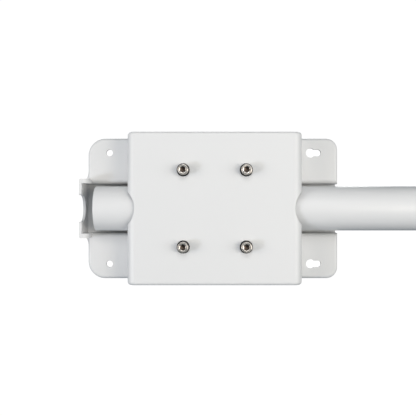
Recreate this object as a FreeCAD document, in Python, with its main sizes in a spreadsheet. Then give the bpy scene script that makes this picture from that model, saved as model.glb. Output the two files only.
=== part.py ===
import FreeCAD, Part
import os
import re
import Sketcher

# Wall clamp that holds a round gate arm: a pressed base plate, a lid-like cover drawn down by
# four cap screws, and the arm's tube lying in a trough between them.
#
# Frame: X runs along the arm, Y points into the wall and Z points up. The origin is on the wall,
# under the middle of the cover, level with the axis of the arm.
# A "height" is a distance out from the wall, so it is measured along -Y.
# Every sketch for a height lies on the XZ plane, whose normal already points along -Y.

SIZES = [
    # arm
    ("arm_radius", 21.2),
    ("arm_wall", 2.0),
    ("arm_length", 600.0),
    ("arm_end_left", 113.5),
    ("arm_play", 0.3),
    ("arm_end_rounding", 0.8),
    ("cap_rim", 3.0),
    ("cap_rim_rounding", 1.5),
    ("cap_plug_length", 18.0),
    ("cap_plug_wall", 2.0),
    ("cap_plug_play", 0.05),
    # base plate
    ("base_sheet", 2.5),
    ("base_left", 122.9),
    ("base_right", 120.1),
    ("base_half_height", 68.2),
    ("flange_height", 16.0),
    ("base_corner_left", 16.5),
    ("base_corner_right", 11.0),
    ("base_rim_rounding", 3.0),
    ("base_inner_rounding", 1.5),
    ("trough_side_gap", 2.6),
    ("trough_bend", 4.3),
    ("fixing_hole_radius", 3.2),
    ("fixing_hole_left", 102.0),
    ("fixing_half_spacing", 54.0),
    ("keyhole_entry_radius", 4.5),
    ("keyhole_entry_right", 93.6),
    ("keyhole_slot_right", 100.5),
    # end stop
    ("stop_sheet", 2.5),
    ("stop_reach", 4.9),
    ("stop_height", 36.2),
    ("stop_wing_overlap", 3.8),
    ("stop_wing_rounding", 6.0),
    ("stop_bend", 1.5),
    ("stop_notch_radius", 12.7),
    ("stop_notch_height", 28.0),
    ("stop_notch_lip", 1.8),
    ("stop_weld_width", 2.8),
    ("stop_weld_length", 9.0),
    # cover
    ("cover_sheet", 2.5),
    ("cover_half_width", 81.0),
    ("cover_side_bend", 7.5),
    ("cover_edge_rounding", 3.0),
    ("cover_rim_gap", 0.3),
    ("cover_foot_gap", 1.0),
    ("cover_skirt_height", 3.0),
    ("cover_arm_gap", 2.8),
    ("cover_relief_depth", 6.8),
    ("cover_relief_radius", 21.3),
    # rubber strips between the arm and the sheet metal
    ("base_pad_thickness", 1.5),
    ("cover_pad_thickness", 0.8),
    ("pad_length", 44.0),
    ("pad_half_width", 14.0),
    ("pad_offset", 46.0),
    # screws, washers and nuts
    ("screw_radius", 3.0),
    ("screw_tip_height", 3.5),
    ("screw_half_spacing_x", 29.0),
    ("screw_row_offset", 11.6),
    ("screw_hole_play", 0.5),
    ("screw_tip_rounding", 0.8),
    ("head_radius", 5.0),
    ("head_height", 6.0),
    ("head_rounding", 0.7),
    ("socket_flats", 5.0),
    ("socket_depth", 3.0),
    ("washer_radius", 6.0),
    ("washer_play", 0.2),
    ("washer_thickness", 1.6),
    ("washer_rounding", 0.25),
    ("spring_washer_radius", 4.95),
    ("spring_washer_play", 0.1),
    ("spring_washer_thickness", 1.6),
    ("spring_washer_gap", 0.9),
    ("nut_flats", 10.0),
    ("nut_height", 5.0),
    ("nut_thread_play", 0.05),
]

DERIVED = {
    "arm_axis_height": "base_sheet + base_pad_thickness + arm_play + arm_radius",
    "cover_inner_height": "arm_axis_height + arm_radius + arm_play + cover_pad_thickness",
    "cover_height": "cover_inner_height + cover_sheet",
    "cover_half_height": "base_half_height + cover_rim_gap + cover_sheet",
    "cover_foot_height": "flange_height + cover_foot_gap",
    "cover_notch_radius": "arm_radius + cover_arm_gap",
    "trough_half_width": "arm_radius + trough_side_gap",
    "trough_outer": "trough_half_width + base_sheet",
    "screw_half_spacing_z": "trough_half_width + screw_row_offset",
    "screw_hole_radius": "screw_radius + screw_hole_play",
    "washer_bore": "screw_radius + washer_play",
    "spring_washer_bore": "screw_radius + spring_washer_play",
    "flange_back": "flange_height - base_sheet",
    "stop_outer": "base_left + stop_reach",
    "stop_inner": "stop_outer - stop_sheet",
    "stop_half_width": "trough_half_width + trough_bend",
    "stop_wing_end": "base_left - stop_wing_overlap",
    "stop_weld_hollow": "(stop_weld_length^2 + stop_weld_width^2) / (2 * stop_weld_width)",
    "washer_top": "cover_height + washer_thickness",
    "head_base": "washer_top + spring_washer_thickness",
    "head_top": "head_base + head_height",
    "arm_bore": "arm_radius - arm_wall",
    "arm_end_right": "arm_length - arm_end_left",
}

SIZE_NAMES = {name for name, size in SIZES}
NAME_PATTERN = re.compile(r"[a-z][a-z_]+")

# How far a cutting shape runs past the face that it cuts.
OVERRUN = 5.0
NEAR = 0.01

doc = FreeCAD.newDocument("ArmClamp")
sheet = doc.addObject("Spreadsheet::Sheet", "Sizes")
for row, (size_name, size) in enumerate(SIZES, start=1):
    sheet.set(f"A{row}", size_name)
    sheet.set(f"B{row}", str(size))
    sheet.setAlias(f"B{row}", size_name)
doc.recompute()


# ---- formulas ----

def formula(text):
    """Write a formula's size names as references to the sheet, and its derived names in full."""
    def expand(match):
        word = match.group(0)
        if word in DERIVED:
            return f"({formula(DERIVED[word])})"
        if word in SIZE_NAMES:
            return f"Sizes.{word}"
        return word
    return NAME_PATTERN.sub(expand, str(text))


def value(text):
    """The present value of a formula, in millimetres."""
    return float(sheet.evalExpression(formula(text)))


# ---- sketches ----

def new_body(name):
    body = doc.addObject("PartDesign::Body", name)
    body.Label = name
    return body


def new_sketch(body, name, role="XZ_Plane", offset="0"):
    """A sketch on one of the body's own planes, moved along the plane's normal by offset."""
    plane = next(item for item in body.Origin.OriginFeatures if item.Role == role)
    sketch = body.newObject("Sketcher::SketchObject", name)
    sketch.AttachmentSupport = [(plane, "")]
    sketch.MapMode = "FlatFace"
    sketch.setExpression(".AttachmentOffset.Base.z", formula(offset))
    return sketch


def bind_point(sketch, geometry, point, u, v):
    """Tie a point of the sketch to the formulas of its two coordinates."""
    for kind, axis, text in (("DistanceX", -2, u), ("DistanceY", -1, v)):
        if text == "0":
            sketch.addConstraint(Sketcher.Constraint("PointOnObject", geometry, point, axis))
        else:
            index = sketch.addConstraint(
                Sketcher.Constraint(kind, -1, 1, geometry, point, value(text)))
            sketch.setExpression(f"Constraints[{index}]", formula(text))


def draw_rectangle(sketch, low_u, high_u, low_v, high_v):
    left, right = value(low_u), value(high_u)
    low, high = value(low_v), value(high_v)
    corners = [
        FreeCAD.Vector(left, low, 0),
        FreeCAD.Vector(right, low, 0),
        FreeCAD.Vector(right, high, 0),
        FreeCAD.Vector(left, high, 0),
    ]
    first = sketch.GeometryCount
    for side in range(4):
        sketch.addGeometry(Part.LineSegment(corners[side], corners[(side + 1) % 4]))
    for side in range(4):
        sketch.addConstraint(
            Sketcher.Constraint("Coincident", first + side, 2, first + (side + 1) % 4, 1))
        direction = "Horizontal" if side % 2 == 0 else "Vertical"
        sketch.addConstraint(Sketcher.Constraint(direction, first + side))
    bind_point(sketch, first, 1, low_u, low_v)
    bind_point(sketch, first + 2, 1, high_u, high_v)


def draw_circle(sketch, u, v, radius):
    centre = FreeCAD.Vector(value(u), value(v), 0)
    circle = sketch.addGeometry(Part.Circle(centre, FreeCAD.Vector(0, 0, 1), value(radius)))
    bind_point(sketch, circle, 3, u, v)
    index = sketch.addConstraint(Sketcher.Constraint("Radius", circle, value(radius)))
    sketch.setExpression(f"Constraints[{index}]", formula(radius))
    return circle


def draw_hexagon(sketch, u, v, flats):
    """A regular hexagon, flats apart across, in a construction circle through its corners."""
    corner_radius = f"({flats}) / sqrt(3)"
    circle = draw_circle(sketch, u, v, corner_radius)
    sketch.toggleConstruction(circle)
    centre = FreeCAD.Vector(value(u), value(v), 0)
    spoke = FreeCAD.Vector(value(corner_radius), 0, 0)
    turn = FreeCAD.Rotation(FreeCAD.Vector(0, 0, 1), 60)
    first = sketch.GeometryCount
    for side in range(6):
        start = centre + spoke
        spoke = turn.multVec(spoke)
        sketch.addGeometry(Part.LineSegment(start, centre + spoke))
    for side in range(6):
        following = first + (side + 1) % 6
        sketch.addConstraint(Sketcher.Constraint("Coincident", first + side, 2, following, 1))
        sketch.addConstraint(Sketcher.Constraint("PointOnObject", first + side, 1, circle))
    for side in range(1, 6):
        sketch.addConstraint(Sketcher.Constraint("Equal", first, first + side))
    sketch.addConstraint(Sketcher.Constraint("Horizontal", first + 1))


# ---- features ----

def pad(body, sketch, name, length):
    feature = body.newObject("PartDesign::Pad", name)
    feature.Profile = sketch
    feature.setExpression("Length", formula(length))
    doc.recompute()
    return feature


def pocket(body, sketch, name, depth, outward=False):
    """Cut towards the wall, or outward from it, and make sure that something was cut."""
    before = body.Shape.Volume
    feature = body.newObject("PartDesign::Pocket", name)
    feature.Profile = sketch
    feature.setExpression("Length", formula(depth))
    feature.Reversed = outward
    doc.recompute()
    if not feature.Shape.Volume < before:
        raise RuntimeError(f"{name} cuts nothing")
    return feature


def round_edges(body, base, name, radius, wanted):
    """Fillet the edges of base whose middle point is wanted."""
    chosen = []
    for number, edge in enumerate(base.Shape.Edges, start=1):
        middle = edge.valueAt((edge.FirstParameter + edge.LastParameter) / 2)
        if wanted(middle):
            chosen.append(f"Edge{number}")
    if not chosen:
        raise RuntimeError(f"{name} finds no edge")
    feature = body.newObject("PartDesign::Fillet", name)
    feature.Base = (base, chosen)
    feature.setExpression("Radius", formula(radius))
    doc.recompute()
    return feature


def is_at(number, text):
    return abs(number - value(text)) < NEAR


def subtract(name, base, *tools):
    """Cut tools from base one after another; the last cut carries the sub-part's name."""
    result = base
    for step, tool in enumerate(tools, start=1):
        cut = doc.addObject("Part::Cut", f"{name}_cut_{step}")
        cut.Base = result
        cut.Tool = tool
        result = cut
    base.Label = f"{name}_blank"
    result.Label = name
    doc.recompute()
    return result


def arm_axis_cylinder(name, radius, start, length):
    """A cylinder on the arm's axis, from start along X."""
    cylinder = doc.addObject("Part::Cylinder", name)
    cylinder.Placement = FreeCAD.Placement(
        FreeCAD.Vector(), FreeCAD.Rotation(FreeCAD.Vector(0, 1, 0), 90))
    cylinder.setExpression("Radius", formula(radius))
    cylinder.setExpression("Height", formula(length))
    cylinder.setExpression(".Placement.Base.x", formula(start))
    cylinder.setExpression(".Placement.Base.y", formula("-arm_axis_height"))
    return cylinder


def disc(name, low, thickness, u, v, radius, bore=None):
    """A round plate or ring that lies parallel to the wall, from height low."""
    body = new_body(name)
    sketch = new_sketch(body, f"{name}_outline", offset=low)
    draw_circle(sketch, u, v, radius)
    if bore:
        draw_circle(sketch, u, v, bore)
    return body, pad(body, sketch, f"{name}_pad", thickness)


# ---- base plate ----

def base_blank():
    """The pressed tray: a rounded front face with a rim that returns to the wall."""
    body = new_body("base_tray")
    outline = new_sketch(body, "tray_outline")
    draw_rectangle(outline, "-base_left", "base_right", "-base_half_height", "base_half_height")
    block = pad(body, outline, "tray_block", "flange_height")
    corners = round_base_corners(body, block, "tray", "flange_height / 2", "0")
    round_edges(body, corners, "tray_rim", "base_rim_rounding",
                lambda point: is_at(-point.y, "flange_height"))
    return body


def round_base_corners(body, block, name, middle_height, inset):
    """Round the plate's outer corners, or the recess corners that run inset from them."""
    for end, wanted in (("left", lambda x: x < 0), ("right", lambda x: x > 0)):
        block = round_edges(body, block, f"{name}_corners_{end}",
                            f"base_corner_{end} - {inset}",
                            lambda point: is_at(-point.y, middle_height) and wanted(point.x)
                            and is_at(abs(point.z), f"base_half_height - {inset}"))
    return block


def base_recess(name, side):
    """The hollow behind one half of the flange, between the trough and the rim."""
    body = new_body(name)
    outline = new_sketch(body, f"{name}_outline", offset=-OVERRUN)
    near, far = "trough_outer", "base_half_height - base_sheet"
    low, high = (near, far) if side > 0 else (f"-({far})", f"-({near})")
    draw_rectangle(outline, "-(base_left - base_sheet)", "base_right - base_sheet", low, high)
    block = pad(body, outline, f"{name}_block", f"flange_back + {OVERRUN}")
    corners = round_base_corners(body, block, name,
                                 f"(flange_back - {OVERRUN}) / 2", "base_sheet")
    round_edges(body, corners, f"{name}_ceiling", "base_inner_rounding",
                lambda point: is_at(-point.y, "flange_back"))
    return body


def trough_space():
    """The air above the trough's floor, flared where the sheet bends down into it."""
    body = new_body("trough_space")
    channel = new_sketch(body, "channel_outline", offset="base_sheet")
    left, right = f"-(base_left + {OVERRUN})", f"base_right + {OVERRUN}"
    draw_rectangle(channel, left, right, "-trough_half_width", "trough_half_width")
    pad(body, channel, "channel_block", f"flange_height - base_sheet + {OVERRUN}")
    air = new_sketch(body, "air_outline", offset="flange_height")
    half_width = "trough_half_width + 2 * trough_bend"
    draw_rectangle(air, left, right, f"-({half_width})", half_width)
    slab = pad(body, air, "air_block", OVERRUN)
    round_edges(body, slab, "channel_flare", "trough_bend",
                lambda point: is_at(-point.y, "flange_height")
                and is_at(abs(point.z), "trough_half_width") and abs(point.x) < OVERRUN)
    return body


def base_holes():
    """Cutters for the fixing holes, keyholes and screw holes in the flange."""
    body = new_body("flange_holes")
    low = f"flange_back - {OVERRUN / 2}"
    depth = f"base_sheet + {OVERRUN}"
    slots = new_sketch(body, "keyhole_slots", offset=low)
    circles = new_sketch(body, "hole_circles", offset=low)
    for side in ("-", ""):
        level = f"{side}fixing_half_spacing"
        draw_circle(circles, "-fixing_hole_left", level, "fixing_hole_radius")
        draw_circle(circles, "keyhole_entry_right", level, "keyhole_entry_radius")
        draw_rectangle(slots, "keyhole_entry_right", "keyhole_slot_right",
                       f"{level} - fixing_hole_radius", f"{level} + fixing_hole_radius")
        for across in ("-", ""):
            draw_circle(circles, f"{across}screw_half_spacing_x", f"{side}screw_half_spacing_z",
                        "screw_hole_radius")
    ends = new_sketch(body, "keyhole_ends", offset=low)
    for side in ("-", ""):
        draw_circle(ends, "keyhole_slot_right", f"{side}fixing_half_spacing",
                    "fixing_hole_radius")
    # One pad for each sketch: the circles, slots and slot ends of a keyhole overlap.
    for sketch in (circles, slots, ends):
        pad(body, sketch, f"{sketch.Name}_pad", depth)
    return body


def base_plate():
    recesses = [base_recess("recess_upper", 1), base_recess("recess_lower", -1)]
    return subtract("base_plate", base_blank(), trough_space(), base_holes(), *recesses)


# ---- end stop ----

def end_stop():
    """The upturned end of the trough: a notched wall, two wings as thick as the trough's bend
    is wide, and a short floor."""
    body = new_body("end_stop_box")
    outline = new_sketch(body, "stop_outline")
    draw_rectangle(outline, "-stop_outer", "-stop_wing_end",
                   "-stop_half_width", "stop_half_width")
    block = pad(body, outline, "stop_block", "stop_height")
    bends = round_edges(body, block, "stop_bends", "stop_bend",
                        lambda point: is_at(-point.x, "stop_outer")
                        and is_at(abs(point.z), "stop_half_width"))
    round_edges(body, bends, "stop_wing_tips", "stop_wing_rounding",
                lambda point: is_at(-point.x, "stop_wing_end")
                and is_at(-point.y, "stop_height"))
    inside = new_sketch(body, "stop_inside", offset="stop_height")
    draw_rectangle(inside, "-stop_inner", f"-stop_wing_end + {OVERRUN}",
                   "-trough_half_width", "trough_half_width")
    pocket(body, inside, "stop_hollow", "stop_height - base_sheet")
    seat = new_sketch(body, "stop_seat")
    draw_rectangle(seat, "-base_left", f"-stop_wing_end + {OVERRUN}",
                   f"-stop_half_width - {OVERRUN}", f"stop_half_width + {OVERRUN}")
    pocket(body, seat, "stop_step", "flange_height", outward=True)
    return subtract("end_stop", body, notch_space())


def notch_space():
    """The air in the end stop's U-shaped notch, with a rounded lip at each side of its mouth."""
    body = new_body("notch_space")
    wall_middle = f"-(stop_outer + {OVERRUN})"
    bottom = new_sketch(body, "notch_bottom", role="YZ_Plane", offset=wall_middle)
    draw_circle(bottom, "-stop_notch_height", "0", "stop_notch_radius")
    depth = f"stop_sheet + 1.5 * {OVERRUN}"
    pad(body, bottom, "notch_bottom_pad", depth)
    mouth = new_sketch(body, "notch_mouth", role="YZ_Plane", offset=wall_middle)
    draw_rectangle(mouth, f"-(stop_height + {OVERRUN})", "-stop_notch_height",
                   "-stop_notch_radius", "stop_notch_radius")
    pad(body, mouth, "notch_mouth_pad", depth)
    air = new_sketch(body, "notch_air", role="YZ_Plane", offset=wall_middle)
    half_width = "stop_notch_radius + 2 * stop_notch_lip"
    draw_rectangle(air, f"-(stop_height + {OVERRUN})", "-stop_height",
                   f"-({half_width})", half_width)
    slab = pad(body, air, "notch_air_pad", depth)
    round_edges(body, slab, "notch_lips", "stop_notch_lip",
                lambda point: is_at(-point.y, "stop_height")
                and is_at(abs(point.z), "stop_notch_radius"))
    return body


def stop_weld(name, side):
    """A hollow weld fillet between a wing of the end stop and the rim of the base plate."""
    body = new_body(f"{name}_block")
    outline = new_sketch(body, f"{name}_outline")
    near, far = "stop_half_width", "stop_half_width + stop_weld_length"
    low, high = (near, far) if side > 0 else (f"-({far})", f"-({near})")
    draw_rectangle(outline, "-(base_left + stop_weld_width)", "-base_left", low, high)
    height = "flange_height - base_rim_rounding"
    pad(body, outline, f"{name}_pad", height)
    hollow = new_sketch(body, f"{name}_hollow", offset=height)
    centre = far if side > 0 else f"-({far})"
    draw_circle(hollow, "-(base_left + stop_weld_hollow)", centre, "stop_weld_hollow")
    pocket(body, hollow, f"{name}_cove", height)
    body.Label = name
    return body


# ---- cover ----

def cover_blank():
    """The cover's outer form, bent round at its two sides and lightly rounded elsewhere."""
    body = new_body("cover_blank")
    outline = new_sketch(body, "cover_outline", offset="cover_skirt_height")
    draw_rectangle(outline, "-cover_half_width", "cover_half_width",
                   "-cover_half_height", "cover_half_height")
    block = pad(body, outline, "cover_block", "cover_height - cover_skirt_height")
    bends = round_edges(body, block, "cover_bends", "cover_side_bend",
                        lambda point: is_at(-point.y, "cover_height")
                        and is_at(abs(point.x), "cover_half_width"))
    rounded = round_edges(body, bends, "cover_edges", "cover_edge_rounding",
                          lambda point: is_at(abs(point.z), "cover_half_height")
                          and not is_at(-point.y, "cover_skirt_height"))
    back = [f"Face{number}" for number, face in enumerate(rounded.Shape.Faces, start=1)
            if is_at(-face.CenterOfMass.y, "cover_skirt_height")]
    shell = body.newObject("PartDesign::Thickness", "cover_shell")
    shell.Base = (rounded, back)
    shell.setExpression("Value", formula("cover_sheet"))
    shell.Reversed = True
    doc.recompute()
    return body


def cover_cutters():
    """What is cut from the cover: feet above the flange, arm notches and screw holes."""
    body = new_body("cover_foot_space")
    feet = new_sketch(body, "foot_outline", offset=-OVERRUN)
    overhang = f"cover_half_width + {OVERRUN}"
    inner = "cover_half_height - cover_sheet"
    draw_rectangle(feet, f"-({overhang})", overhang, f"-({inner})", inner)
    pad(body, feet, "foot_pad", f"cover_foot_height + {OVERRUN}")
    cutters = [body]
    for name, side in (("left", -1), ("right", 1)):
        straight = "cover_half_width - cover_side_bend"
        start = straight if side > 0 else f"-({overhang})"
        cutters.append(arm_axis_cylinder(f"notch_{name}", "cover_notch_radius", start,
                                         f"cover_side_bend + {OVERRUN}"))
        centre = "cover_half_width - cover_relief_depth + cover_relief_radius"
        cutters.append(disc(f"relief_{name}", "arm_axis_height",
                            f"cover_height - arm_axis_height + {OVERRUN}",
                            centre if side > 0 else f"-({centre})", "0",
                            "cover_relief_radius")[0])
    holes = new_body("cover_screw_holes")
    circles = new_sketch(holes, "cover_hole_circles", offset="arm_axis_height")
    for side in ("-", ""):
        for across in ("-", ""):
            draw_circle(circles, f"{across}screw_half_spacing_x",
                        f"{side}screw_half_spacing_z", "screw_hole_radius")
    pad(holes, circles, "cover_hole_pad", f"cover_height - arm_axis_height + {OVERRUN}")
    cutters.append(holes)
    return cutters


def clamp_cover():
    return subtract("clamp_cover", cover_blank(), *cover_cutters())


# ---- rubber strips ----

def pad_strip(name, side, low, thickness):
    body = new_body(name)
    outline = new_sketch(body, f"{name}_outline", offset=low)
    near, far = "pad_offset - pad_length / 2", "pad_offset + pad_length / 2"
    left, right = (near, far) if side > 0 else (f"-({far})", f"-({near})")
    draw_rectangle(outline, left, right, "-pad_half_width", "pad_half_width")
    pad(body, outline, f"{name}_pad", thickness)
    return body


# ---- fasteners ----

def clamp_screw(name, u, v):
    """A socket head cap screw whose tip points at the wall."""
    body, shank = disc(name, "screw_tip_height", "head_base - screw_tip_height", u, v,
                       "screw_radius")
    round_edges(body, shank, f"{name}_tip", "screw_tip_rounding",
                lambda point: is_at(-point.y, "screw_tip_height"))
    head_outline = new_sketch(body, f"{name}_head_outline", offset="head_base")
    draw_circle(head_outline, u, v, "head_radius")
    head = pad(body, head_outline, f"{name}_head", "head_height")
    round_edges(body, head, f"{name}_head_edge", "head_rounding",
                lambda point: is_at(-point.y, "head_top"))
    socket = new_sketch(body, f"{name}_socket_outline", offset="head_top")
    draw_hexagon(socket, u, v, "socket_flats")
    pocket(body, socket, f"{name}_socket", "socket_depth")
    return body


def flat_washer(name, u, v):
    body, ring = disc(name, "cover_height", "washer_thickness", u, v,
                      "washer_radius", "washer_bore")
    outer_height = value("washer_top")
    far = value("washer_radius") - NEAR
    centre_x, centre_z = value(u), value(v)
    round_edges(body, ring, f"{name}_edge", "washer_rounding",
                lambda point: abs(point.y + outer_height) < NEAR
                and abs(complex(point.x - centre_x, point.z - centre_z)) > far)
    return body


def spring_washer(name, u, v):
    """A ring with one split, turned towards the arm's free end."""
    body, ring = disc(name, "washer_top", "spring_washer_thickness", u, v,
                      "spring_washer_radius", "spring_washer_bore")
    split = new_sketch(body, f"{name}_split_outline", offset="head_base")
    draw_rectangle(split, u, f"{u} + 2 * spring_washer_radius",
                   f"{v} - spring_washer_gap / 2", f"{v} + spring_washer_gap / 2")
    pocket(body, split, f"{name}_split", "spring_washer_thickness")
    return body


def weld_nut(name, u, v):
    """A hexagon nut against the back of the flange."""
    body = new_body(name)
    outline = new_sketch(body, f"{name}_outline", offset="flange_back - nut_height")
    draw_hexagon(outline, u, v, "nut_flats")
    draw_circle(outline, u, v, "screw_radius + nut_thread_play")
    pad(body, outline, f"{name}_pad", "nut_height")
    return body


def fastener_sets():
    """Four sets, numbered from the upper left along each row."""
    pieces = []
    number = 0
    for up in ("", "-"):
        for across in ("-", ""):
            number += 1
            u, v = f"{across}screw_half_spacing_x", f"{up}screw_half_spacing_z"
            pieces.append(clamp_screw(f"clamp_screw_{number}", u, v))
            pieces.append(flat_washer(f"flat_washer_{number}", u, v))
            pieces.append(spring_washer(f"spring_washer_{number}", u, v))
            pieces.append(weld_nut(f"weld_nut_{number}", u, v))
    return pieces


# ---- arm ----

def arm_tube():
    """The tube, its open end lightly rounded outside."""
    body = new_body("arm_tube")
    ring = new_sketch(body, "tube_ring", role="YZ_Plane", offset="-arm_end_left")
    draw_circle(ring, "-arm_axis_height", "0", "arm_radius")
    draw_circle(ring, "-arm_axis_height", "0", "arm_bore")
    tube = pad(body, ring, "tube_pad", "arm_length")
    bore_top = value("arm_axis_height + arm_bore") + NEAR
    round_edges(body, tube, "tube_end", "arm_end_rounding",
                lambda point: is_at(-point.x, "arm_end_left")
                and max(-point.y, 2 * value("arm_axis_height") + point.y) > bore_top)
    return body


def arm_end_cap():
    """A moulded plug with a rim that covers the tube's far end."""
    body = new_body("arm_end_cap")
    rim_outline = new_sketch(body, "cap_rim_outline", role="YZ_Plane", offset="arm_end_right")
    draw_circle(rim_outline, "-arm_axis_height", "0", "arm_radius")
    rim = pad(body, rim_outline, "cap_rim_pad", "cap_rim")
    round_edges(body, rim, "cap_rim_edge", "cap_rim_rounding",
                lambda point: is_at(point.x, "arm_end_right + cap_rim"))
    plug_outline = new_sketch(body, "cap_plug_outline", role="YZ_Plane",
                              offset="arm_end_right - cap_plug_length")
    draw_circle(plug_outline, "-arm_axis_height", "0", "arm_bore - cap_plug_play")
    draw_circle(plug_outline, "-arm_axis_height", "0",
                "arm_bore - cap_plug_play - cap_plug_wall")
    pad(body, plug_outline, "cap_plug_pad", "cap_plug_length")
    return body


# ---- assembly ----

parts = [
    base_plate(),
    end_stop(),
    stop_weld("stop_weld_upper", 1),
    stop_weld("stop_weld_lower", -1),
    clamp_cover(),
    pad_strip("base_pad_left", -1, "base_sheet", "base_pad_thickness"),
    pad_strip("base_pad_right", 1, "base_sheet", "base_pad_thickness"),
    pad_strip("cover_pad_left", -1, "cover_inner_height - cover_pad_thickness",
              "cover_pad_thickness"),
    pad_strip("cover_pad_right", 1, "cover_inner_height - cover_pad_thickness",
              "cover_pad_thickness"),
    *fastener_sets(),
    arm_tube(),
    arm_end_cap(),
]
doc.recompute()

for item in doc.Objects:
    if "Invalid" in item.State or "Error" in item.State:
        raise RuntimeError(f"{item.Label} failed: {item.State}")
for item in parts:
    if item.Shape.isNull() or not item.Shape.isValid() or len(item.Shape.Solids) != 1:
        raise RuntimeError(f"{item.Label} is not one valid solid")

os.makedirs("parts", exist_ok=True)
for item in parts:
    item.Shape.exportStep(f"parts/{item.Label}.step")
    box = item.Shape.BoundBox
    print(f"{item.Label}: volume {item.Shape.Volume:.1f}, "
          f"X {box.XMin:.2f}..{box.XMax:.2f}, Y {box.YMin:.2f}..{box.YMax:.2f}, "
          f"Z {box.ZMin:.2f}..{box.ZMax:.2f}")
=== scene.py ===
import math

import bmesh
import bpy
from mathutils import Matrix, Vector


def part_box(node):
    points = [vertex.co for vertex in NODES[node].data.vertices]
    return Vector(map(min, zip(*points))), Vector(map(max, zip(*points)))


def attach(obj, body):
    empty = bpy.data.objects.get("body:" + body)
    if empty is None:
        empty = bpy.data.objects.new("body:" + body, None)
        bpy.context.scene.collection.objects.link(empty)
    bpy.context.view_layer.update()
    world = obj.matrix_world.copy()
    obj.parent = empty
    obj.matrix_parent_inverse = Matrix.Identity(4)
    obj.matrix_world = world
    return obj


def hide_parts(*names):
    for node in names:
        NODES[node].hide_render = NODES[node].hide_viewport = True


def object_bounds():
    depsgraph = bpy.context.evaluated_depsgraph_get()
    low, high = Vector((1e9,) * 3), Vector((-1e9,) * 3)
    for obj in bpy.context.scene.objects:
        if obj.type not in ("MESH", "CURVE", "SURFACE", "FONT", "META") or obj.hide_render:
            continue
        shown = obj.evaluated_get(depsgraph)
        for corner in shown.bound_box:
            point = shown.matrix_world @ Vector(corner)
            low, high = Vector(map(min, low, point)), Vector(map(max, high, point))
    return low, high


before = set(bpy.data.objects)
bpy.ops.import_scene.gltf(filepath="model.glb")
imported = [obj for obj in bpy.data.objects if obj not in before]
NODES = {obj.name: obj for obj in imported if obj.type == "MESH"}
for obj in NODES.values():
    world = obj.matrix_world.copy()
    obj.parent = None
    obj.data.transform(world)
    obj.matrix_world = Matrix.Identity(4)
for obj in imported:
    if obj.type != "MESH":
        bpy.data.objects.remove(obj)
cad_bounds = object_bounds()

# The row frame: X along the arm, Y into the wall, Z up. A "height" is a distance out from the
# wall, along -Y. All lengths are in metres.
MM = 0.001
FASTENERS = (1, 2, 3, 4)


# ---- places, all from the frame ----

def corner_low(node):
    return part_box(node)[0]


def middle(node):
    low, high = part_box(node)
    return (low + high) / 2


def heights(node):
    """Lowest and highest distance of a node from the wall."""
    low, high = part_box(node)
    return -high.y, -low.y


def outer_radius(node):
    low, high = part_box(node)
    return (high.z - low.z) / 2


# ---- mesh building ----

def make_object(name, points, faces, material, body, crease_degrees=35):
    mesh = bpy.data.meshes.new(name)
    mesh.from_pydata([tuple(point) for point in points], [], faces)
    mesh.validate()
    work = bmesh.new()
    work.from_mesh(mesh)
    bmesh.ops.remove_doubles(work, verts=work.verts, dist=1e-7)
    bmesh.ops.recalc_face_normals(work, faces=work.faces)
    work.to_mesh(mesh)
    work.free()
    mesh.materials.append(material)
    piece = bpy.data.objects.new(name, mesh)
    bpy.context.scene.collection.objects.link(piece)
    for polygon in mesh.polygons:
        polygon.use_smooth = True
    mesh.set_sharp_from_angle(angle=math.radians(crease_degrees))
    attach(piece, body)
    return piece


def round_ring(radius, steps):
    return [radius] * steps


def shaped_ring(shape, steps):
    return [shape(2 * math.pi * step / steps) for step in range(steps)]


def hexagon_radius(flats):
    """Distance from the centre of a hexagon to its side, in each direction."""
    half = flats / 2

    def radius(angle):
        turned = (angle + math.pi / 6) % (math.pi / 3) - math.pi / 6
        return half / math.cos(turned)
    return radius


def stack(rings, place, close_start=True, close_end=True, loop=False):
    """Points and faces of a skin over rings, each a height and its radii round the axis.

    place turns (across, up, height) into a point of the row frame."""
    steps = len(rings[0][1])
    points = []
    for height, radii in rings:
        for step, radius in enumerate(radii):
            angle = 2 * math.pi * step / steps
            lift = height(angle) if callable(height) else height
            points.append(place(radius * math.cos(angle), radius * math.sin(angle), lift))
    faces = []
    count = len(rings)
    for ring in range(count if loop else count - 1):
        first, second = ring * steps, (ring + 1) % count * steps
        for step in range(steps):
            after = (step + 1) % steps
            faces.append((first + step, first + after, second + after, second + step))
    if not loop and close_start:
        faces.append(tuple(reversed(range(steps))))
    if not loop and close_end:
        faces.append(tuple(range((count - 1) * steps, count * steps)))
    return points, faces


def on_wall_axis(centre):
    """Places local points whose height runs out from the wall, round a fastener's axis."""
    def place(across, up, height):
        return Vector((centre.x + across, -height, centre.z + up))
    return place


def on_arm_axis(centre):
    """Places local points whose height runs along X, round the arm's axis."""
    def place(across, up, along):
        return Vector((along, centre.y + across, centre.z + up))
    return place


def rounded_corner(corner, before, after, radius, steps=4):
    """Points of an arc that rounds the corner of an outline of (radius, height) pairs."""
    corner, before, after = Vector(corner), Vector(before), Vector(after)
    to_before = (before - corner).normalized()
    to_after = (after - corner).normalized()
    half = to_before.angle(to_after) / 2
    reach = radius / math.tan(half)
    centre = corner + (to_before + to_after).normalized() * radius / math.sin(half)
    start = corner + to_before * reach - centre
    end = corner + to_after * reach - centre
    sweep = start.angle(end)
    found = []
    for step in range(steps + 1):
        share = step / steps
        weight_start = math.sin((1 - share) * sweep) / math.sin(sweep)
        weight_end = math.sin(share * sweep) / math.sin(sweep)
        found.append(centre + start * weight_start + end * weight_end)
    return found


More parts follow.
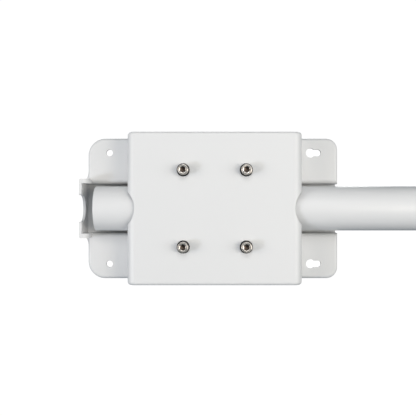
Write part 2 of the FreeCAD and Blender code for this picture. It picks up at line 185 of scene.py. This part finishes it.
def rounded_outline(corners, closed=True):
    """An outline of (radius, height, rounding) corners as a list of (radius, height) points."""
    found = []
    count = len(corners)
    for index, (radius, height, rounding) in enumerate(corners):
        here = (radius, height)
        if rounding == 0 or (not closed and index in (0, count - 1)):
            found.append(Vector(here))
            continue
        before = corners[index - 1][:2]
        after = corners[(index + 1) % count][:2]
        found.extend(rounded_corner(here, before, after, rounding))
    return found


def turned_piece(name, outline, steps, place, material, body, loop=True):
    """A piece turned on a lathe from an outline of (radius, height) points."""
    rings = [(point.y, round_ring(point.x, steps)) for point in outline]
    points, faces = stack(rings, place, loop=loop)
    return make_object(name, points, faces, material, body)


# ---- materials ----

# The walls of the plate's holes are painted shade, a near-black colour standing for the dark
# inside them: that colour, how far from a hole's centre they may lie, and the most that a
# face's normal may lean towards Y and still count as a wall.
HOLE_WALL_PAINTED_SHADE = (0.035, 0.033, 0.033)
HOLE_REACH = 6.5 * MM
WALL_FACING = 0.6
BLEND_WIDTH = 0.05

def new_material(name):
    material = bpy.data.materials.new(name)
    material.use_nodes = True
    nodes = material.node_tree.nodes
    return material, nodes, material.node_tree.links, nodes["Principled BSDF"]


def place_coordinates(nodes):
    return nodes.new("ShaderNodeTexCoord").outputs["Object"]


def noise(nodes, links, scale, detail=2.0, roughness=0.5, vector=None):
    texture = nodes.new("ShaderNodeTexNoise")
    texture.inputs["Scale"].default_value = scale
    texture.inputs["Detail"].default_value = detail
    texture.inputs["Roughness"].default_value = roughness
    links.new(vector or place_coordinates(nodes), texture.inputs["Vector"])
    return texture.outputs["Fac"]


def between(nodes, links, factor, low, high, from_low=0.3, from_high=0.7):
    """A number that runs from low to high as factor runs over its middle range."""
    spread = nodes.new("ShaderNodeMapRange")
    spread.inputs["From Min"].default_value = from_low
    spread.inputs["From Max"].default_value = from_high
    spread.inputs["To Min"].default_value = low
    spread.inputs["To Max"].default_value = high
    links.new(factor, spread.inputs["Value"])
    return spread.outputs["Result"]


def two_colours(nodes, links, factor, first, second):
    mix = nodes.new("ShaderNodeMix")
    mix.data_type = "RGBA"
    mix.inputs["A"].default_value = (*first, 1)
    mix.inputs["B"].default_value = (*second, 1)
    links.new(factor, mix.inputs["Factor"])
    return mix.outputs["Result"]


def bump(nodes, links, height, distance, strength=1.0, normal=None):
    node = nodes.new("ShaderNodeBump")
    node.inputs["Strength"].default_value = strength
    node.inputs["Distance"].default_value = distance
    links.new(height, node.inputs["Height"])
    if normal:
        links.new(normal, node.inputs["Normal"])
    return node.outputs["Normal"]


def soft_edges(nodes, radius):
    """Normals that round a sharp edge, as a coat of paint does."""
    node = nodes.new("ShaderNodeBevel")
    node.samples = 6
    node.inputs["Radius"].default_value = radius
    return node.outputs["Normal"]


def in_holes(nodes, links, centres, reach):
    """One on the walls of the holes at some centres (object coordinates), nought elsewhere."""
    place = nodes.new("ShaderNodeTexCoord")
    facing = nodes.new("ShaderNodeSeparateXYZ")
    links.new(place.outputs["Normal"], facing.inputs["Vector"])
    upright = nodes.new("ShaderNodeMath")
    upright.operation = "ABSOLUTE"
    links.new(facing.outputs["Y"], upright.inputs[0])
    wall = between(nodes, links, upright.outputs["Value"], 1, 0,
                   WALL_FACING, WALL_FACING + BLEND_WIDTH)
    near = None
    for centre in centres:
        flat = nodes.new("ShaderNodeVectorMath")
        flat.operation = "MULTIPLY"
        flat.inputs[1].default_value = (1, 0, 1)
        links.new(place.outputs["Object"], flat.inputs[0])
        apart = nodes.new("ShaderNodeVectorMath")
        apart.operation = "DISTANCE"
        apart.inputs[1].default_value = (centre.x, 0, centre.z)
        links.new(flat.outputs["Vector"], apart.inputs[0])
        inside = between(nodes, links, apart.outputs["Value"], 1, 0, reach, reach + 0.1 * MM)
        if near is None:
            near = inside
            continue
        most = nodes.new("ShaderNodeMath")
        most.operation = "MAXIMUM"
        links.new(near, most.inputs[0])
        links.new(inside, most.inputs[1])
        near = most.outputs["Value"]
    both = nodes.new("ShaderNodeMath")
    both.operation = "MULTIPLY"
    links.new(wall, both.inputs[0])
    links.new(near, both.inputs[1])
    return both.outputs["Value"]


def painted_steel(name, light, shade, rough, peel_size, peel_height, edge_radius, holes=()):
    """Powder coat: a faint orange peel, a slow drift of tone and a soft shine.

    The walls of any holes get painted shade: a near-black colour standing for the dark inside
    them."""
    material, nodes, links, surface = new_material(name)
    drift = noise(nodes, links, 18, detail=3)
    colour = two_colours(nodes, links, drift, light, shade)
    # painted shade: the hole walls are mixed to a near-black colour
    if holes:
        mix = nodes.new("ShaderNodeMix")
        mix.data_type = "RGBA"
        mix.inputs["B"].default_value = (*HOLE_WALL_PAINTED_SHADE, 1)
        links.new(in_holes(nodes, links, holes, HOLE_REACH), mix.inputs["Factor"])
        links.new(colour, mix.inputs["A"])
        colour = mix.outputs["Result"]
    links.new(colour, surface.inputs["Base Color"])
    cloud = noise(nodes, links, 60, detail=2)
    links.new(between(nodes, links, cloud, rough - 0.03, rough + 0.03),
              surface.inputs["Roughness"])
    surface.inputs["IOR"].default_value = 1.5
    peel = noise(nodes, links, 1 / peel_size, detail=2, roughness=0.45)
    rounded = soft_edges(nodes, edge_radius)
    fine = noise(nodes, links, 4 / peel_size, detail=1)
    coarse_normal = bump(nodes, links, peel, peel_height, normal=rounded)
    links.new(bump(nodes, links, fine, peel_height * 0.25, normal=coarse_normal),
              surface.inputs["Normal"])
    return material


def bare_metal(name, light, shade, rough_low, rough_high, streak_scale, streak_depth,
               streak_stretch, edge_radius=0.1 * MM):
    """Machined metal: fine tool marks, a cloudy shine and a slight warm or cool drift."""
    material, nodes, links, surface = new_material(name)
    surface.inputs["Metallic"].default_value = 1.0
    mapping = nodes.new("ShaderNodeMapping")
    mapping.inputs["Scale"].default_value = streak_stretch
    links.new(place_coordinates(nodes), mapping.inputs["Vector"])
    streaks = noise(nodes, links, streak_scale, detail=3, vector=mapping.outputs["Vector"])
    cloud = noise(nodes, links, 350, detail=3)
    links.new(two_colours(nodes, links, cloud, light, shade), surface.inputs["Base Color"])
    links.new(between(nodes, links, streaks, rough_low, rough_high),
              surface.inputs["Roughness"])
    rounded = soft_edges(nodes, edge_radius)
    links.new(bump(nodes, links, streaks, streak_depth, normal=rounded),
              surface.inputs["Normal"])
    return material


def moulded(name, light, shade, rough, grain_size, grain_height):
    """Rubber or moulded plastic: an even grain with a little dust-like drift of tone."""
    material, nodes, links, surface = new_material(name)
    drift = noise(nodes, links, 120, detail=4)
    links.new(two_colours(nodes, links, drift, light, shade), surface.inputs["Base Color"])
    links.new(between(nodes, links, drift, rough - 0.05, rough + 0.05),
              surface.inputs["Roughness"])
    grain = noise(nodes, links, 1 / grain_size, detail=2)
    rounded = soft_edges(nodes, 0.3 * MM)
    links.new(bump(nodes, links, grain, grain_height, normal=rounded),
              surface.inputs["Normal"])
    return material


POWDER_COAT = painted_steel("powder_coat", (0.765, 0.765, 0.763), (0.748, 0.749, 0.75),
                            0.46, 1.3 * MM, 0.012 * MM, 0.5 * MM)
ARM_COAT = painted_steel("arm_coat", (0.765, 0.765, 0.765), (0.748, 0.749, 0.752),
                         0.38, 1.6 * MM, 0.008 * MM, 0.3 * MM)
STAINLESS = bare_metal("stainless", (0.66, 0.62, 0.575), (0.52, 0.48, 0.44),
                       0.26, 0.40, 900, 0.01 * MM, (1, 1, 1))
# painted shade: a near-black brown for the walls inside the hex socket
SOCKET_PAINTED_SHADE = bare_metal("socket_painted_shade", (0.11, 0.085, 0.07), (0.045, 0.034, 0.03),
                          0.35, 0.55, 1200, 0.01 * MM, (1, 1, 1))
# painted shade: near-black steel for the washers, standing for the shade round the screw heads
WASHER_PAINTED_SHADE = bare_metal("washer_painted_shade", (0.06, 0.057, 0.056), (0.03, 0.028, 0.028),
                          0.22, 0.36, 700, 0.008 * MM, (1, 1, 4))
ZINC_STEEL = bare_metal("zinc_steel", (0.60, 0.62, 0.66), (0.47, 0.49, 0.54),
                        0.28, 0.45, 500, 0.012 * MM, (1, 3, 1))
PAD_RUBBER = moulded("pad_rubber", (0.022, 0.022, 0.024), (0.040, 0.040, 0.042),
                     0.72, 0.5 * MM, 0.03 * MM)
CAP_PLASTIC = moulded("end_cap_plastic", (0.72, 0.72, 0.73), (0.68, 0.68, 0.69),
                      0.48, 0.6 * MM, 0.015 * MM)


# ---- sheet metal: the CAD shapes, painted, with their sharp edges eased ----

def ease_edges(node, material, width):
    piece = NODES[node]
    piece.data.materials.clear()
    piece.data.materials.append(material)
    flat = piece.modifiers.new("merge_flat_faces", "DECIMATE")
    flat.decimate_type = "DISSOLVE"
    flat.angle_limit = math.radians(0.4)
    ease = piece.modifiers.new("eased_edges", "BEVEL")
    ease.width = width
    ease.segments = 3
    ease.limit_method = "ANGLE"
    ease.angle_limit = math.radians(40)
    ease.harden_normals = False


HOLE_ROW = 54 * MM
# the fixing hole, then the keyhole's entry and the end of its slot
HOLE_ALONG = (-102 * MM, 93.6 * MM, 100.5 * MM)


def flange_holes():
    """Centres of the plate's fixing holes and keyholes, in the plate's own coordinates."""
    to_plate = NODES["base_plate"].matrix_world.inverted()
    return [to_plate @ Vector((along, 0, across))
            for along in HOLE_ALONG for across in (HOLE_ROW, -HOLE_ROW)]


# the plate's coat, with painted shade on the walls of its holes
PLATE_COAT = painted_steel("plate_powder_coat", (0.765, 0.765, 0.763), (0.748, 0.749, 0.75),
                           0.46, 1.3 * MM, 0.012 * MM, 0.5 * MM, holes=flange_holes())
ease_edges("base_plate", PLATE_COAT, 0.35 * MM)
for sheet_node in ("end_stop", "clamp_cover"):
    ease_edges(sheet_node, POWDER_COAT, 0.35 * MM)
for weld_node in ("stop_weld_upper", "stop_weld_lower"):
    NODES[weld_node].data.materials.clear()
    NODES[weld_node].data.materials.append(POWDER_COAT)


# ---- arm ----

def arm_tube():
    """A welded tube: square-cut ends, a rounded outer lip and the weld's bead inside."""
    node = "arm_tube"
    low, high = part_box(node)
    radius = outer_radius(node)
    wall = 2 * MM
    inside = radius - wall
    lip, inner_lip = 0.8 * MM, 0.3 * MM
    outline = rounded_outline([
        (radius, low.x, lip), (radius, high.x, 0.2 * MM),
        (inside, high.x, 0.2 * MM), (inside, low.x, inner_lip)])
    steps = 192
    bead_width, bead_height = 0.09, 0.35 * MM
    rings = []
    for point in outline:
        if point.x > inside + 0.1 * MM:
            rings.append((point.y, round_ring(point.x, steps)))
            continue

        def with_bead(angle, bore=point.x):
            off = (angle - math.pi / 2) / bead_width
            return bore - bead_height * math.exp(-off * off)
        rings.append((point.y, shaped_ring(with_bead, steps)))
    points, faces = stack(rings, on_arm_axis(middle(node)), loop=True)
    tube = make_object("gate_arm_tube", points, faces, ARM_COAT, "gate_arm")
    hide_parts(node)
    return tube


arm_tube()


def end_cap():
    """A moulded plug: a domed rim with a shallow ring, and fins that grip the tube's bore."""
    node = "arm_end_cap"
    low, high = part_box(node)
    radius = outer_radius(node)
    tube_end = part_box("arm_tube")[1].x
    plug = radius - 2.05 * MM
    wall = 2 * MM
    web = 0.9 * MM
    dimple = high.x - 0.35 * MM
    groove = high.x - 0.45 * MM
    # radius, place along the arm, rounding
    outline = [(0.0, dimple, 0), (1.2 * MM, dimple, 0.2 * MM),
               (1.7 * MM, high.x - 0.05 * MM, 0.3 * MM), (15.4 * MM, high.x, 1.0 * MM),
               (15.9 * MM, groove, 0.15 * MM), (16.7 * MM, groove, 0.15 * MM),
               (17.2 * MM, high.x, 0.3 * MM), (radius, high.x - 0.1 * MM, 1.4 * MM),
               (radius, tube_end, 0.15 * MM), (plug, tube_end, 0.1 * MM)]
    fin_pitch, fin_depth = 3.0 * MM, 0.35 * MM
    fins = 5
    for fin in range(fins):
        top = tube_end - 1.2 * MM - fin * fin_pitch
        outline += [(plug - fin_depth, top, 0.1 * MM), (plug, top - 1.0 * MM, 0.1 * MM),
                    (plug - fin_depth, top - fin_pitch + 0.2 * MM, 0.05 * MM)]
    outline += [(plug - fin_depth, low.x, 0.4 * MM), (plug - wall, low.x, 0.4 * MM),
                (plug - wall, tube_end - web, 0.6 * MM), (0.0, tube_end - web, 0)]
    points = rounded_outline(outline, closed=False)
    cap = turned_piece("end_cap", points, 160, on_arm_axis(middle(node)), CAP_PLASTIC,
                       "gate_arm", loop=False)
    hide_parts(node)


end_cap()


# ---- rubber strips ----

def ribbed_strip(node, body, ribs_face_out):
    """A rubber strip with rounded edges and fine ribs across it, on the side of the arm."""
    low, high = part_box(node)
    pitch = 2.0 * MM
    depth = min(0.3 * MM, (high.y - low.y) * 0.3)
    ease = 0.3 * MM
    columns = round((high.x - low.x) / pitch) * 8
    rows = 24
    points, faces = [], []
    for column in range(columns + 1):
        along = low.x + (high.x - low.x) * column / columns
        end = min(column, columns - column)
        inset = ease * (1 - math.sin(math.pi / 2 * min(1, end / 3)))
        rib = depth * (0.5 - 0.5 * math.cos(2 * math.pi * column / 8)) + inset
        for row in range(rows + 1):
            across = low.z + (high.z - low.z) * row / rows
            side = min(row, rows - row)
            edge = ease * (1 - math.sin(math.pi / 2 * min(1, side / 2)))
            level = low.y + rib + edge if ribs_face_out else high.y - rib - edge
            points.append((along, level, across))
    stride = rows + 1
    for column in range(columns):
        for row in range(rows):
            first = column * stride + row
            faces.append((first, first + stride, first + stride + 1, first + 1))
    flat = high.y if ribs_face_out else low.y
    back = len(points)
    border = (list(range(rows))
              + [column * stride + rows for column in range(columns)]
              + [columns * stride + rows - row for row in range(rows)]
              + [(columns - column) * stride for column in range(columns)])
    for index in border:
        points.append((points[index][0], flat, points[index][2]))
    count = len(border)
    for index in range(count):
        after = (index + 1) % count
        faces.append((border[index], border[after], back + after, back + index))
    faces.append(tuple(range(back, back + count)))
    strip = make_object(f"rubber_{node}", points, faces, PAD_RUBBER, body,
                        crease_degrees=50)
    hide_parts(node)


for side in ("left", "right"):
    ribbed_strip(f"base_pad_{side}", "wall_bracket", ribs_face_out=True)
    ribbed_strip(f"cover_pad_{side}", "cover", ribs_face_out=False)


# ---- fasteners ----

def cap_screw(number):
    """A socket head cap screw with a knurled head and a cut thread."""
    node = f"clamp_screw_{number}"
    tip, top = heights(node)
    centre = middle(node)
    head_radius = outer_radius(node)
    shank_radius = 3 * MM
    head_base = top - 6 * MM
    steps = 120
    knurl = 0.12 * MM
    rounding = 0.7 * MM
    land_radius = 3.25 * MM
    side = [head_radius - (knurl if step % 2 else 0) for step in range(steps)]
    hexagon = hexagon_radius(5 * MM)
    socket_depth = 3 * MM
    rings = []

    # threaded end, from the tip up
    thread_top = tip + 24 * MM
    pitch = 1 * MM
    root = 2.42 * MM
    rings.append((tip, round_ring(1.9 * MM, steps)))
    per_pitch = 8
    levels = int((thread_top - tip) / pitch * per_pitch)
    for level in range(levels + 1):
        height = tip + 0.35 * MM + (thread_top - tip) * level / levels
        ease = min(1, level / per_pitch, (levels - level) / per_pitch)

        def thread(angle, height=height, ease=ease):
            phase = ((height - tip) / pitch - angle / (2 * math.pi)) % 1
            ridge = 1 - abs(2 * phase - 1)
            crest = min(1, ridge * 1.25)
            return root + (shank_radius - root) * crest * ease
        rings.append((height, shaped_ring(thread, steps)))
    rings.append((thread_top + 0.9 * MM, round_ring(shank_radius, steps)))
    rings.append((head_base, round_ring(shank_radius, steps)))

    # head
    rings.append((head_base, round_ring(head_radius - 0.35 * MM, steps)))
    rings.append((head_base + 0.3 * MM, round_ring(head_radius - knurl, steps)))
    rings.append((head_base + 0.5 * MM, side))
    rings.append((top - 1.1 * MM, side))
    rings.append((top - 0.9 * MM, round_ring(head_radius - knurl, steps)))
    for step in range(1, 6):
        angle = math.pi / 2 * step / 5
        radius = head_radius - knurl - rounding * (1 - math.cos(angle))
        rings.append((top - rounding * (1 - math.sin(angle)), round_ring(radius, steps)))
    rings.append((top, round_ring(land_radius, steps)))
    rings.append((top - 0.25 * MM, shaped_ring(lambda a: hexagon(a) + 0.06 * MM, steps)))
    rings.append((top - 0.4 * MM, shaped_ring(hexagon, steps)))
    rings.append((top - socket_depth, shaped_ring(hexagon, steps)))
    rings.append((top - socket_depth - 0.05 * MM, round_ring(2.2 * MM, steps)))
    rings.append((top - socket_depth - 0.9 * MM, round_ring(0.25 * MM, steps)))
    points, faces = stack(rings, on_wall_axis(centre))
    screw = make_object(f"cap_screw_{number}", points, faces, STAINLESS,
                        f"screw_{number}", crease_degrees=28)
    # the socket's walls take the dark material, painted shade inside the socket
    screw.data.materials.append(SOCKET_PAINTED_SHADE)
    socket_mouth = top - 0.3 * MM
    for polygon in screw.data.polygons:
        height = -polygon.center.y
        from_axis = math.hypot(polygon.center.x - centre.x, polygon.center.z - centre.z)
        if head_base < height < socket_mouth and from_axis < 3 * MM:
            polygon.material_index = 1
    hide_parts(node)


def plain_washer(number):
    node = f"flat_washer_{number}"
    low, high = heights(node)
    radius = outer_radius(node)
    bore = 3.2 * MM
    outline = rounded_outline([
        (radius, low, 0.1 * MM), (radius, high, 0.35 * MM),
        (bore, high, 0.15 * MM), (bore, low, 0.05 * MM)])
    # the washer is painted shade, near-black for the shade round the screw head
    washer = turned_piece(f"washer_{number}", outline, 96, on_wall_axis(middle(node)),
                          WASHER_PAINTED_SHADE, "cover")
    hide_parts(node)


def lock_washer(number):
    """A split ring of rounded square wire whose ends are cut on a slant."""
    node = f"spring_washer_{number}"
    low, high = heights(node)
    radius = outer_radius(node)
    bore = 3.1 * MM
    section = rounded_outline([
        (radius, low, 0.2 * MM), (radius, high, 0.2 * MM),
        (bore, high, 0.2 * MM), (bore, low, 0.2 * MM)])
    place = on_wall_axis(middle(node))
    half_gap = math.asin(0.45 * MM / radius)
    slant = 0.12
    steps = 72
    points = []
    for step in range(steps + 1):
        share = step / steps
        for point in section:
            lean = slant * ((point.y - low) / (high - low) - 0.5)
            angle = half_gap + slant / 2 + share * (2 * math.pi - 2 * half_gap - slant) + lean
            points.append(place(point.x * math.cos(angle), point.x * math.sin(angle), point.y))
    count = len(section)
    faces = [tuple(reversed(range(count))), tuple(range(steps * count, (steps + 1) * count))]
    for step in range(steps):
        for index in range(count):
            after = (index + 1) % count
            faces.append((step * count + index, step * count + after,
                          (step + 1) * count + after, (step + 1) * count + index))
    # the lock washer is painted shade, near-black for the shade round the screw head
    washer = make_object(f"lock_washer_{number}", points, faces, WASHER_PAINTED_SHADE,
                         "cover")
    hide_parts(node)


def welded_nut(number):
    """A hexagon nut with chamfered corners and a plain round bore."""
    node = f"weld_nut_{number}"
    low, high = heights(node)
    flats = 2 * outer_radius(node)
    steps = 96
    hexagon = hexagon_radius(flats)
    bore = 3.05 * MM
    seat = flats / 2 * 0.94
    chamfer_slope = 0.55

    def chamfer_height(angle):
        return low + (hexagon(angle) - seat) * chamfer_slope
    rings = [
        (low, round_ring(seat, steps)),
        (chamfer_height, shaped_ring(hexagon, steps)),
        (high, shaped_ring(hexagon, steps)),
        (high, round_ring(bore, steps)),
        (low + 0.4 * MM, round_ring(bore, steps)),
        (low, round_ring(bore + 0.4 * MM, steps)),
    ]
    points, faces = stack(rings, on_wall_axis(middle(node)), loop=True)
    nut = make_object(f"hex_nut_{number}", points, faces, ZINC_STEEL,
                      "wall_bracket", crease_degrees=30)
    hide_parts(node)


for fastener in FASTENERS:
    cap_screw(fastener)
    plain_washer(fastener)
    lock_washer(fastener)
    welded_nut(fastener)


# ---- floor, light and camera ----

def soft_light(name, direction, distance, size, power, colour, target):
    """A round soft box that looks at target from a direction."""
    light = bpy.data.lights.new(name, "AREA")
    light.shape = "DISK"
    light.size = size
    light.energy = power
    light.color = colour
    holder = bpy.data.objects.new(name, light)
    bpy.context.scene.collection.objects.link(holder)
    away = Vector(direction).normalized()
    holder.location = target + away * distance
    holder.rotation_euler = away.to_track_quat("Z", "Y").to_euler()
    return holder


def pale_floor():
    """A disc below the clamp that glows a little and lights nothing else."""
    low, high = cad_bounds
    radius, drop = 0.62, 0.40
    material, nodes, links, surface = new_material("pale_floor")
    tone = noise(nodes, links, 3, detail=2)
    links.new(two_colours(nodes, links, tone, (0.83, 0.83, 0.83), (0.79, 0.79, 0.79)),
              surface.inputs["Base Color"])
    surface.inputs["Roughness"].default_value = 0.6
    surface.inputs["Emission Color"].default_value = (1, 1, 1, 1)
    surface.inputs["Emission Strength"].default_value = FLOOR_GLOW
    mesh = bpy.data.meshes.new("floor")
    work = bmesh.new()
    bmesh.ops.create_circle(work, cap_ends=True, segments=96, radius=radius)
    work.to_mesh(mesh)
    work.free()
    mesh.materials.append(material)
    floor = bpy.data.objects.new("floor", mesh)
    floor.location = ((low[0] + high[0]) / 2, 0, low[2] - drop)
    floor.visible_diffuse = False
    floor.visible_glossy = False
    bpy.context.scene.collection.objects.link(floor)


def studio():
    """A white backdrop for the camera, and a dimmer cool fill for the object."""
    world = bpy.data.worlds.new("studio")
    world.use_nodes = True
    nodes = world.node_tree.nodes
    links = world.node_tree.links
    nodes.clear()
    output = nodes.new("ShaderNodeOutputWorld")
    backdrop = nodes.new("ShaderNodeBackground")
    backdrop.inputs["Color"].default_value = (1, 1, 1, 1)
    backdrop.inputs["Strength"].default_value = BACKDROP_LEVEL
    fill = nodes.new("ShaderNodeBackground")
    fill.inputs["Color"].default_value = (*FILL_COLOUR, 1)
    fill.inputs["Strength"].default_value = FILL_LEVEL
    seen = nodes.new("ShaderNodeLightPath")
    mix = nodes.new("ShaderNodeMixShader")
    links.new(seen.outputs["Is Camera Ray"], mix.inputs["Fac"])
    links.new(fill.outputs["Background"], mix.inputs[1])
    links.new(backdrop.outputs["Background"], mix.inputs[2])
    links.new(mix.outputs["Shader"], output.inputs["Surface"])
    bpy.context.scene.world = world


BACKDROP_LEVEL = 1.05
FLOOR_GLOW = 0.2
LIGHT_DISTANCE = 1.6

WHITE = (1.0, 1.0, 1.0)
COOL = (0.7, 0.8, 1.0)
WARM = (1.0, 0.92, 0.82)
FILL_LEVEL = 0.2
FILL_COLOUR = (0.75, 0.9, 1.0)

# name, direction from the clamp, size of the soft box, power, colour
LIGHTS = [
    ("key", (-0.8, -0.6, -0.2), 0.25, 5, COOL),
    ("front_right", (0.5, -0.85, 0.0), 0.7, 8, WARM),
    ("front_top", (0.0, -0.85, 0.5), 0.8, 6, WHITE),
    ("left", (-0.8, -0.6, 0.0), 1.0, 10, WARM),
    ("right", (0.8, -0.6, 0.0), 1.0, 7, WHITE),
    ("behind", (0.0, 0.95, 0.3), 1.2, 14, WHITE),
]

studio()
pale_floor()
cover_face = corner_low("clamp_cover").y
clamp_middle = Vector((0, cover_face, 0))
camera_distance = 0.589
for light_name, direction, size, power, colour in LIGHTS:
    soft_light(light_name, direction, LIGHT_DISTANCE, size, power, colour, clamp_middle)

camera_data = bpy.data.cameras.new("camera")
camera_data.lens = 55.4
camera_data.sensor_width = 36
camera = bpy.data.objects.new("camera", camera_data)
camera.location = (-0.0062, cover_face - camera_distance, 0.0004)
camera.rotation_euler = (math.radians(90), 0, 0)
bpy.context.scene.collection.objects.link(camera)
bpy.context.scene.camera = camera
bpy.context.scene.view_settings.view_transform = "Standard"

bpy.context.view_layer.update()
